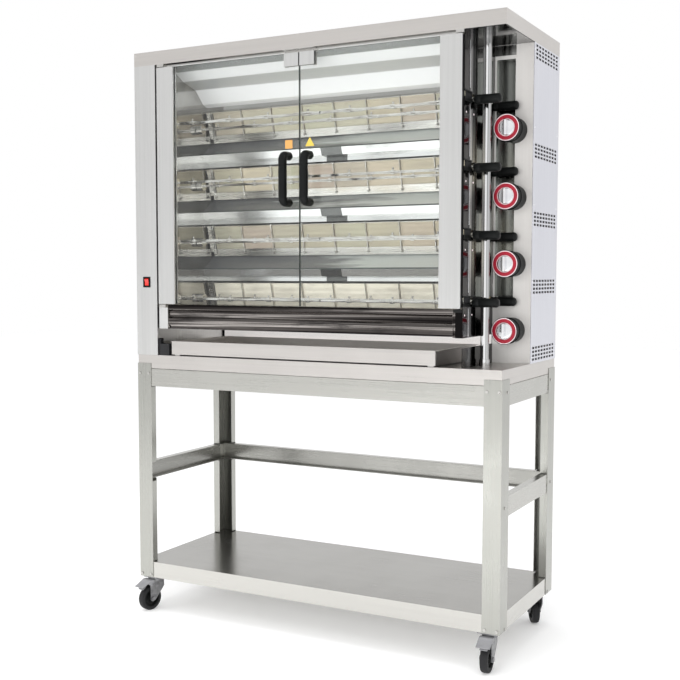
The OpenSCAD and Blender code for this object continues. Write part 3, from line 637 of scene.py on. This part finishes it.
STEEL = (0.64, 0.64, 0.63)
STAND_STEEL = (0.49, 0.485, 0.455)
LEG_STEEL = (0.43, 0.43, 0.40)
PAN_STEEL = (0.60, 0.575, 0.55)
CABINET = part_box("top_cover")[0]
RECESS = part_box("right_wall")
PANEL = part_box("control_panel")
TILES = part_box("burner_tiles")
GUTTER_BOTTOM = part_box("grease_gutter")[0].z
LEGS_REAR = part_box("stand_legs")[1].y - 0.010
SLOPE_FADE = 1.10
LOW_ROW = 0.12
FINISHES = {
    "sheet_x": brushed("steel_brushed_level", "x", PAN_STEEL, 0.34),
    "sheet_z": brushed("steel_brushed_upright", "z", STEEL, 0.34),
    # stand_x and stand_z darken their inner faces, and shelf its top, as painted shade.
    "stand_x": brushed("steel_stand_level", "x", STAND_STEEL, 0.28, inside=0.70, inward=0.62),
    "stand_z": brushed("steel_stand_upright", "z", LEG_STEEL, 0.30, inside=0.45, rear=LEGS_REAR),
    "shelf": brushed("steel_stand_shelf", "x", (0.56, 0.55, 0.52), 0.22, top=0.66),
    "side": brushed("steel_brushed_side", "z", (0.70, 0.705, 0.75), 0.42),
    "liner": chamber_steel(CABINET.y, GUTTER_BOTTOM, TILES[1].z - 0.01),
    "slope": deflector_steel(RECESS[1].x - SLOPE_FADE, RECESS[1].x),
    "wall": wall_steel(CABINET.y, RECESS[0].z, RECESS[1].z),
    "panel": panel_steel((0.43, 0.415, 0.40), 0.34, PANEL[0].y + 0.001, PANEL[0].x, PANEL[1].x),
    "gutter": gutter_steel(),
    "post": post_chrome(),
    "bracket": bracket_steel(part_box("door_stile_left")[0].z + 0.012, GUTTER_BOTTOM),
    # A dark steel for the plate that paints a dark reflection above the sunk strip.
    "plate": polished("steel_recess_reflection_plate", (0.24, 0.24, 0.23), 0.10),
    "heated": heated_steel(),
    "ceramic": ceramic(TILES[0].z + LOW_ROW),
    "chrome": chrome(),
    "spit": spit_steel(),
    "zinc": zinc(),
    "brass": brass(),
    "paint": moulded("motor_enamel", (0.060, 0.068, 0.080), 0.42, 500.0),
    "black": moulded("plastic_black", (0.004, 0.0046, 0.0045), 0.45, gloss=0.16),
    "pedal": moulded("plastic_pedal", (0.23, 0.23, 0.24), 0.45),
    "rubber": moulded("rubber_black", (0.010, 0.010, 0.011), 0.62, 600.0, 0.2, gloss=0.35),
    "red": moulded("enamel_red", (0.25, 0.009, 0.022), 0.38, 500.0, 0.03, 0.15, 0.25),
    "white": moulded("enamel_white", (0.70, 0.60, 0.62), 0.35, 500.0, 0.03, 0.3),
    "rocker": lit_rocker(),
    "glass": glass(),
    "orange": printed("film_orange", (0.50, 0.26, 0.07)),
    "yellow": printed("film_yellow", (0.54, 0.40, 0.06)),
}

# ---------- mesh tools ----------

SHARP_ANGLE = math.radians(35.0)


def around(radius, share, along=0.0):
    """A point on a circle about Z, at this share of a full turn."""
    turn = 2 * math.pi * share
    return Vector((radius * math.cos(turn), radius * math.sin(turn), along))


class Shape:
    """A mesh put together from turned, swept and rounded solids."""

    def __init__(self):
        self.mesh = bmesh.new()

    def box(self, low, high, bevel, steps=2):
        """A block with rounded edges."""
        low, high = Vector(low), Vector(high)
        spot = Matrix.Translation((low + high) / 2) @ Matrix.Diagonal((*(high - low), 1.0))
        made = bmesh.ops.create_cube(self.mesh, size=1.0, matrix=spot)["verts"]
        edges = list({e for v in made for e in v.link_edges})
        bmesh.ops.bevel(self.mesh, geom=edges, offset=bevel, segments=steps, profile=0.6, affect="EDGES")

    def turned(self, profile, at, axis, steps):
        """A solid of revolution: profile holds (distance along the axis, radius) from end to end."""
        aim = Vector(axis).to_track_quat("Z", "Y").to_matrix()
        rings = []
        for along, radius in profile:
            count = steps if radius > 0.0 else 1
            spots = [Vector(at) + aim @ around(radius, i / steps, along) for i in range(count)]
            rings.append([self.mesh.verts.new(spot) for spot in spots])
        for a, b in zip(rings, rings[1:]):
            for i in range(steps):
                j = (i + 1) % steps
                corners = [a[i % len(a)], a[j % len(a)], b[j % len(b)], b[i % len(b)]]
                unique = list(dict.fromkeys(corners))
                if len(unique) > 2:
                    self.mesh.faces.new(unique)
        for ring in (rings[0], rings[-1]):
            if len(ring) > 2:
                self.mesh.faces.new(ring)

    def swept(self, points, radii, steps):
        """A rod along points, with a radius at each."""
        points = [Vector(p) for p in points]
        rings = []
        for i, (point, radius) in enumerate(zip(points, radii)):
            ahead = points[min(i + 1, len(points) - 1)] - points[max(i - 1, 0)]
            aim = ahead.to_track_quat("Z", "Y").to_matrix()
            spots = [point + aim @ around(radius, k / steps) for k in range(steps)]
            rings.append([self.mesh.verts.new(spot) for spot in spots])
        for a, b in zip(rings, rings[1:]):
            for i in range(steps):
                j = (i + 1) % steps
                self.mesh.faces.new((a[i], a[j], b[j], b[i]))
        self.mesh.faces.new(rings[0])
        self.mesh.faces.new(rings[-1])

    def piece(self, name, finish, body, slot, replaced=()):
        """Finish the mesh as a named object that rides on a body and may stand for CAD nodes."""
        bmesh.ops.recalc_face_normals(self.mesh, faces=self.mesh.faces)
        data = bpy.data.meshes.new(name)
        self.mesh.to_mesh(data)
        self.mesh.free()
        data.shade_smooth()
        data.set_sharp_from_angle(angle=SHARP_ANGLE)
        data.materials.append(FINISHES[finish])
        made = bpy.data.objects.new(name, data)
        bpy.context.scene.collection.objects.link(made)
        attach(made, body)
        if replaced:
            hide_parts(*replaced)


def middle(node):
    low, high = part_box(node)
    return (low + high) / 2


# ---------- finishes of the CAD pieces ----------

LOOKS = {
    "stand_legs": "stand_z",
    "stand_rails": "stand_x",
    "stand_shelf": "shelf",
    "caster_plates": "zinc",
    "base_pan": "sheet_x",
    "top_cover": "sheet_x",
    "motor_housing": "sheet_z",
    "chamber_liner": "liner",
    "right_wall": "wall",
    "control_panel": "panel",
    "side_panel": "side",
    "back_panel": "sheet_z",
    "burner_housings": "heated",
    "burner_guards": "spit",
    "deflector_shelves": "slope",
    "grease_gutter": "gutter",
    "corner_post": "post",
    "gear_motors": "paint",
    "gas_manifold": "brass",
    "knob_bezels": "black",
    "brackets_and_fasteners": "bracket",
    "door_glass_left": "glass",
    "door_glass_right": "glass",
    "door_stile_left": "sheet_z",
    "door_stile_right": "sheet_z",
    "door_handle_left": "black",
    "door_handle_right": "black",
    "rocker": "rocker",
    "drip_tray": "sheet_x",
    "brake_pedal_fl": "pedal",
    "brake_pedal_fr": "pedal",
}
LOOKS.update({f"drive_{k}": "spit" for k in SPITS})
LOOKS.update({f"caster_fork_{c}": "zinc" for c in CORNERS})


def finish_cad_pieces():
    for node, look in LOOKS.items():
        NODES[node].data.materials.clear()
        NODES[node].data.materials.append(FINISHES[look])


# ---------- spits ----------

FORKS = 7
FORK_PITCH = 0.150
FIRST_FORK = 0.080
FORK_REACH = 0.027
TINE = 0.038
BAR = 0.004
GRIP = 0.083
GRIP_R = 0.014
JOURNAL_R = 0.007
JOURNAL = 0.024
DOME = 0.010


def add_fork(shape, x, y, z):
    """Two bent prongs on a clamp block, with its wing screw."""
    shape.box((x - 0.006, y - 0.0065, z - 0.0065), (x + 0.006, y + 0.0065, z + 0.0065), 0.0012)
    shape.box((x - 0.0015, y - 0.029, z - 0.0025), (x + 0.0015, y + 0.029, z + 0.0025), 0.0008)
    for side in (-1, 1):
        for way in (-1, 1):
            ways = [x + way * TINE * t for t in (0.0, 0.3, 0.6, 0.85, 1.0)]
            radii = (0.0017, 0.0017, 0.0015, 0.0011, 0.0003)
            shape.swept([(w, y + side * FORK_REACH, z) for w in ways], radii, 10)
    shape.turned([(0.0, 0.0018), (0.003, 0.0018), (0.003, 0.0034), (0.0072, 0.0034), (0.008, 0.0026)],
                 (x, y, z + 0.0065), (0, 0, 1), 16)


def make_spits():
    """Each spit is a square bar with its forks and journal, and a black grip."""
    for k in SPITS:
        low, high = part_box(f"spit_{k}")
        axis = middle(f"drive_{k}")
        y, z = axis.y, axis.z
        grip_x = high.x - GRIP
        rod = Shape()
        rod.box((low.x, y - BAR, z - BAR), (grip_x - JOURNAL, y + BAR, z + BAR), 0.0009)
        journal = [(0.0, 0.0052), (0.002, JOURNAL_R), (JOURNAL, JOURNAL_R)]
        rod.turned(journal, (grip_x - JOURNAL, y, z), (1, 0, 0), 32)
        for i in range(FORKS):
            add_fork(rod, low.x + FIRST_FORK + i * FORK_PITCH, y, z)
        rod.piece(f"spit_rod_{k}", "spit", f"spit_{k}", "spit_steel", (f"spit_{k}",))
        grip = Shape()
        r = GRIP_R
        profile = [(0.0, 0.0088), (0.0, r - 0.004), (0.0012, r - 0.0016), (0.004, r), (0.020, r)]
        profile += [(0.021, r - 0.0006), (0.0225, r - 0.0006), (0.0235, r), (0.060, r - 0.0004)]
        profile.append((GRIP - DOME, r))
        for step in range(1, 7):
            angle = math.pi / 2 * step / 6
            profile.append((GRIP - DOME + DOME * math.sin(angle), r - DOME + DOME * math.cos(angle)))
        profile.append((GRIP, 0.0))
        grip.turned(profile, (grip_x, y, z), (1, 0, 0), 40)
        grip.piece(f"spit_grip_{k}", "black", f"spit_{k}", "black_plastic", (f"spit_{k}",))


# ---------- knobs ----------

DIAL_HEIGHT = 0.016
KNOB_STEPS = 72


def make_knobs():
    """Each knob is a black collar, a red ring between white outlines, and a chrome dial with a bar."""
    for k in KNOBS:
        low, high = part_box(f"knob_{k}")
        x, z = middle(f"knob_{k}").x, middle(f"knob_{k}").z
        r = (high.x - low.x) / 2
        face = low.y + DIAL_HEIGHT
        centre, out = (x, face, z), (0, -1, 0)
        body = Shape()
        skirt = [(-0.040, r - 0.004), (-0.039, r - 0.001), (-0.034, r - 0.001), (-0.032, r - 0.0035)]
        skirt += [(-0.010, r - 0.0045), (-0.008, r - 0.001), (-0.0012, r), (-0.0002, r - 0.0009)]
        skirt.append((0.0, r - 0.0018))
        body.turned([(-0.040, 0.004), *skirt, (0.0, 0.022), (-0.001, 0.0)], centre, out, KNOB_STEPS)
        body.turned([(-0.001, 0.0039), (-(high.y - face), 0.0039)], centre, out, 24)
        body.piece(f"knob_body_{k}", "black", f"knob_{k}", "black_plastic", (f"knob_{k}",))
        band = Shape()
        band.turned([(0.0, 0.0262), (0.0006, 0.0268), (0.0009, 0.030), (0.0009, r - 0.006),
                     (0.0005, r - 0.0046), (0.0, r - 0.0044)], centre, out, KNOB_STEPS)
        band.piece(f"knob_ring_{k}", "red", f"knob_{k}", "knob_red")
        outline = Shape()
        outline.turned([(0.0, r - 0.0043), (0.0007, r - 0.0040), (0.0007, r - 0.0021), (0.0, r - 0.0018)],
                       centre, out, KNOB_STEPS)
        outline.turned([(0.0, 0.0243), (0.0007, 0.0246), (0.0007, 0.0258), (0.0, 0.0261)],
                       centre, out, KNOB_STEPS)
        outline.piece(f"knob_outline_{k}", "white", f"knob_{k}", "knob_red")
        dial = Shape()
        dial.turned([(0.0, 0.0242), (0.002, 0.0240), (0.0036, 0.0225), (0.0042, 0.019), (0.0040, 0.0)],
                    centre, out, 64)
        dial.box((x - 0.005, low.y, z - 0.0235), (x + 0.005, face - 0.002, z + 0.0235), 0.0024, steps=4)
        dial.piece(f"knob_dial_{k}", "chrome", f"knob_{k}", "chrome")
        mark = Shape()
        mark.box((x - 0.0008, low.y + 0.0002, z + 0.006), (x + 0.0008, low.y + 0.0012, z + 0.020), 0.0003)
        mark.piece(f"knob_mark_{k}", "black", f"knob_{k}", "black_plastic")


# ---------- burner tiles ----------

TILE_COUNT = 8
TILE_TILT = 15.0
TILE_H = 0.092
TILE_T = 0.013
TILE_GAP = 0.0026
BURNER_PITCH = 0.204
TILE_ROWS = 4


def make_tiles():
    """Rows of tilted tiles that fill the width of the CAD set."""
    low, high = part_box("burner_tiles")
    pitch = (high.x - low.x + TILE_GAP) / TILE_COUNT
    tiles = Shape()
    tilt = Matrix.Rotation(math.radians(TILE_TILT), 4, "X")
    reach = [(tilt @ Vector((0.0, t, v))) for t in (0.0, TILE_T) for v in (-TILE_H / 2, TILE_H / 2)]
    face_y = low.y - min(corner.y for corner in reach)
    first_z = low.z - min(corner.z for corner in reach)
    for row in range(TILE_ROWS):
        spot = Matrix.Translation((0.0, face_y, first_z + row * BURNER_PITCH)) @ tilt
        for i in range(TILE_COUNT):
            x0 = low.x + i * pitch
            x1 = x0 + pitch - TILE_GAP
            add_tile(tiles, x0, x1, spot)
    tiles.piece("burner_tile_set", "ceramic", "root", "ceramic", ("burner_tiles",))


def add_tile(shape, x0, x1, spot):
    """One closed plate whose face steps down from its rim to a field of four shallow level waves."""
    across, up = 10, 36
    rim, sink, wave, waves = 0.0055, 0.0012, 0.0006, 4
    columns = [x0, x0 + 0.0015, x0 + rim, x0 + rim + 0.001]
    inner = [x0 + rim + 0.001 + (x1 - x0 - 2 * rim - 0.002) * i / across for i in range(1, across)]
    columns += inner + [x1 - rim - 0.001, x1 - rim, x1 - 0.0015, x1]
    half = TILE_H / 2
    levels = [-half, -half + 0.0015, -half + rim, -half + rim + 0.001]
    levels += [-half + rim + 0.001 + (TILE_H - 2 * rim - 0.002) * i / up for i in range(1, up)]
    levels += [half - rim - 0.001, half - rim, half - 0.0015, half]

    def depth(x, v):
        inset = min(x - x0, x1 - x, v + half, half - v)
        if inset < 0.0008:
            return 0.0015
        if inset <= rim + 0.0002:
            return 0.0
        return sink + wave * math.cos(2 * math.pi * waves * v / (TILE_H - 2 * rim))

    grid = [[shape.mesh.verts.new(spot @ Vector((x, depth(x, v), v))) for v in levels] for x in columns]
    back = {}
    for i, x in enumerate(columns):
        for j, v in enumerate(levels):
            if i in (0, len(columns) - 1) or j in (0, len(levels) - 1):
                back[i, j] = shape.mesh.verts.new(spot @ Vector((x, TILE_T, v)))
    last_i, last_j = len(columns) - 1, len(levels) - 1
    for i in range(last_i):
        for j in range(last_j):
            shape.mesh.faces.new((grid[i][j], grid[i + 1][j], grid[i + 1][j + 1], grid[i][j + 1]))
    loop = [(i, 0) for i in range(last_i)] + [(last_i, j) for j in range(last_j)]
    loop += [(i, last_j) for i in range(last_i, 0, -1)] + [(0, j) for j in range(last_j, 0, -1)]
    for a, b in zip(loop, loop[1:] + loop[:1]):
        shape.mesh.faces.new((grid[a[0]][a[1]], back[a], back[b], grid[b[0]][b[1]]))
    shape.mesh.faces.new([back[p] for p in loop])


# ---------- caster wheels ----------

def make_wheels():
    """Each wheel is a tyre with rounded shoulders on a dished hub."""
    for c in CORNERS:
        node = f"caster_wheel_{c}"
        centre = middle(node)
        low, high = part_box(node)
        axis = Vector(JOINTS[f"caster_{c}_roll"]["axis"]).normalized()
        r = (high.z - low.z) / 2
        tyre = Shape()
        section = [(-0.012, r - 0.0115), (-0.012, r - 0.004), (-0.0108, r - 0.0014), (-0.008, r - 0.0002)]
        section.append((-0.0045, r))
        section += [(-a, b) for a, b in reversed(section)]
        inner = [(0.0095, r - 0.0115), (-0.0095, r - 0.0115)]
        ring(tyre, section + inner, centre, axis)
        tyre.piece(f"caster_tyre_{c}", "rubber", node, "rubber", (node,))
        hub = Shape()
        rim = r - 0.0117
        web = [(-0.011, rim), (-0.011, rim - 0.003), (-0.005, rim - 0.005), (-0.005, 0.014), (-0.011, 0.0115)]
        web += [(-0.014, 0.0105), (-0.014, 0.0042)]
        ring(hub, web + [(-a, b) for a, b in reversed(web)], centre, axis)
        hub.piece(f"caster_hub_{c}", "black", node, "rubber")


def ring(shape, section, at, axis, steps=72):
    """A closed ring: section holds (distance along the axis, radius) once round."""
    aim = Vector(axis).to_track_quat("Z", "Y").to_matrix()
    loops = []
    for i in range(steps):
        spots = [at + aim @ around(radius, i / steps, along) for along, radius in section]
        loops.append([shape.mesh.verts.new(spot) for spot in spots])
    count = len(section)
    for a, b in zip(loops, loops[1:] + loops[:1]):
        for i in range(count):
            j = (i + 1) % count
            shape.mesh.faces.new((a[i], a[j], b[j], b[i]))


# ---------- small things ----------

# A piece that lies on another stands this far off it.
TOUCH = 0.00002
FILM_REACH = 0.019
FILM_OVER_HANDLE = 0.024
SCREW_SHARES = (0.02, 0.26, 0.5, 0.74, 0.98)
WALL_OUTER = 0.023
SLOT_H = 0.016


def make_stickers():
    """Two plain warning films on the glass above the handles."""
    for name, finish, side in (("left", "orange", 4), ("right", "yellow", 3)):
        handle_low, handle_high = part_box(f"door_handle_{name}")
        glass_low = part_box(f"door_glass_{name}")[0]
        x = (handle_low.x + handle_high.x) / 2
        z = handle_high.z + FILM_OVER_HANDLE
        y = glass_low.y
        film = Shape()
        first = 1 / 8 if side == 4 else 1 / 4
        corners = [around(FILM_REACH, first + i / side) for i in range(side)]
        outline = rounded_outline([(x + corner.x, z + corner.y) for corner in corners], 0.0025)
        front = [film.mesh.verts.new((u, y - 0.0003, v)) for u, v in outline]
        rear = [film.mesh.verts.new((u, y - TOUCH, v)) for u, v in outline]
        film.mesh.faces.new(front)
        film.mesh.faces.new(rear)
        for i in range(len(front)):
            j = (i + 1) % len(front)
            film.mesh.faces.new((front[i], front[j], rear[j], rear[i]))
        film.piece(f"warning_film_{name}", finish, f"door_{name}", "knob_red")


def rounded_outline(corners, radius, steps=5):
    """The outline with each corner cut by a quadratic curve."""
    out = []
    for i, corner in enumerate(corners):
        corner = Vector(corner)
        before = (Vector(corners[i - 1]) - corner).normalized() * radius
        after = (Vector(corners[(i + 1) % len(corners)]) - corner).normalized() * radius
        for s in range(steps + 1):
            t = s / steps
            spot = corner + before * (1 - t) ** 2 + after * t ** 2
            out.append((spot.x, spot.y))
    return out


def screw(shape, at, axis, r=0.0032, rise=0.0014):
    """A domed screw head with a small dimple in its middle."""
    profile = [(-0.0006, r), (0.0, r)]
    profile += [(rise * math.sin(a), r * math.cos(a)) for a in (0.35, 0.7, 1.05)]
    shape.turned([*profile, (rise, r * 0.25), (rise * 0.6, r * 0.2), (rise * 0.6, 0.0)], at, axis, 20)


def make_screws():
    """Screws down the edges of the two sides, and in three rows on the back."""
    shape = Shape()
    low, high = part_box("side_panel")
    for y in (low.y + 0.012, high.y - 0.014):
        for share in SCREW_SHARES:
            screw(shape, (high.x, y, low.z + (high.z - low.z) * share), (1, 0, 0))
    low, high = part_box("back_panel")
    for share_z in (0.02, 0.5, 0.98):
        z = low.z + (high.z - low.z) * share_z
        for share in SCREW_SHARES:
            screw(shape, (low.x + (high.x - low.x) * share, high.y, z), (0, 1, 0))
    low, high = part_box("motor_housing")
    for y in (low.y + 0.014, high.y - 0.014):
        for share in SCREW_SHARES:
            screw(shape, (low.x, y, low.z + (high.z - low.z) * share), (-1, 0, 0))
    shape.piece("panel_screws", "chrome", "root", "zinc")


def spit_heights():
    return [middle(f"drive_{k}").z for k in SPITS if k % 2]


def make_wall_trim():
    """Bright strip and pale rivets on the outer face of the right wall, between the slots for the spits."""
    low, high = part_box("right_wall")
    x = low.x + WALL_OUTER
    bottom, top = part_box("grease_gutter")[0].z + 0.002, high.z - 0.015
    rows = spit_heights()
    strip = Shape()
    starts = [bottom] + [z + SLOT_H + 0.014 for z in rows]
    ends = [z - 0.016 for z in rows] + [top]
    for z0, z1 in zip(starts, ends):
        strip.box((x - 0.0002, low.y + 0.0455, z0), (x + 0.0010, low.y + 0.0482, z1), 0.0003)
    strip.piece("wall_strip", "chrome", "root", "polished_steel")
    rivets = Shape()
    for z in (rows[0] - 0.036, *[z - 0.043 for z in rows[1:]]):
        for inset in (0.018, 0.078):
            screw(rivets, (x, low.y + inset, z), (1, 0, 0), 0.0030, 0.0016)
    rivets.piece("wall_rivets", "white", "root", "zinc")


def make_slot_wipers():
    """Rubber flaps behind the slots in the right wall, and black trims above and below their open fronts."""
    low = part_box("right_wall")[0]
    wipers = Shape()
    x = low.x + WALL_OUTER - 0.002
    front, rear = (middle(f"drive_{k}").y for k in (1, 2))
    for z in spit_heights():
        for y0, y1 in ((low.y + 0.018, front - 0.010), (front + 0.010, rear - 0.010)):
            wipers.box((x - 0.0022, y0, z - 0.002), (x - 0.0004, y1, z + SLOT_H + 0.002), 0.0006)
    wipers.piece("slot_wipers", "rubber", "root", "rubber")
    trims = Shape()
    outer = low.x + WALL_OUTER
    for z in spit_heights():
        for z0, z1 in ((z - 0.012, z - 0.0004), (z + SLOT_H + 0.0004, z + SLOT_H + 0.005)):
            trims.box((outer + TOUCH, low.y + 0.003, z0), (outer + 0.0012, front - 0.016, z1), 0.0004)
    trims.piece("slot_trims", "black", "root", "black_plastic")


def make_door_seal():
    """Black seal down the hinge edge of the right door."""
    low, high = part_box("door_stile_right")
    glass_low, glass_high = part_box("door_glass_right")
    seal = Shape()
    seal.box((high.x + TOUCH, low.y + 0.004, glass_low.z + 0.004),
             (high.x + 0.0021, low.y + 0.016, glass_high.z - 0.004), 0.0006)
    seal.piece("door_seal_right", "rubber", "door_right", "rubber")


def make_tray_stop():
    """Black rubber block beside the left end of the drip tray, with a taller plate at its left."""
    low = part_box("drip_tray")[0]
    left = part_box("motor_housing")[1].x
    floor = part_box("base_pan")[1].z
    block = Shape()
    block.box((left + 0.006, low.y + 0.003, floor + 0.0002),
              (low.x - 0.006, low.y + 0.030, floor + 0.040), 0.002)
    block.box((left + 0.0005, low.y + 0.006, floor + 0.0002),
              (left + 0.008, low.y + 0.024, floor + 0.058), 0.0015)
    block.piece("tray_stop", "rubber", "root", "rubber")


def make_recess_reflection_plate():
    """Dark plate above the sunk strip of the control panel, a painted reflection: it stands in for the dark
    reflection there.
    """
    low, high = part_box("control_panel")
    plate = Shape()
    plate.box((low.x + 0.0004, low.y - 0.0012, high.z - 0.034),
              (low.x + 0.068, low.y - TOUCH, high.z - 0.003), 0.0004)
    plate.piece("recess_reflection_plate", "plate", "root", "polished_steel")


def make_floor():
    sheet = bmesh.new()
    bmesh.ops.create_grid(sheet, x_segments=8, y_segments=8, size=FLOOR_HALF)
    data = bpy.data.meshes.new("floor")
    sheet.to_mesh(data)
    sheet.free()
    data.materials.append(floor_finish())
    floor = bpy.data.objects.new("floor", data)
    bpy.context.scene.collection.objects.link(floor)


make_camera()
make_world()
make_floor()
for lamp in LAMPS:
    make_lamp(*lamp)
finish_cad_pieces()
make_spits()
make_knobs()
make_tiles()
make_wheels()
make_stickers()
make_screws()
make_wall_trim()
make_slot_wipers()
make_door_seal()
make_recess_reflection_plate()
make_tray_stop()


def plain(box):
    return [[float(value) for value in corner] for corner in box]
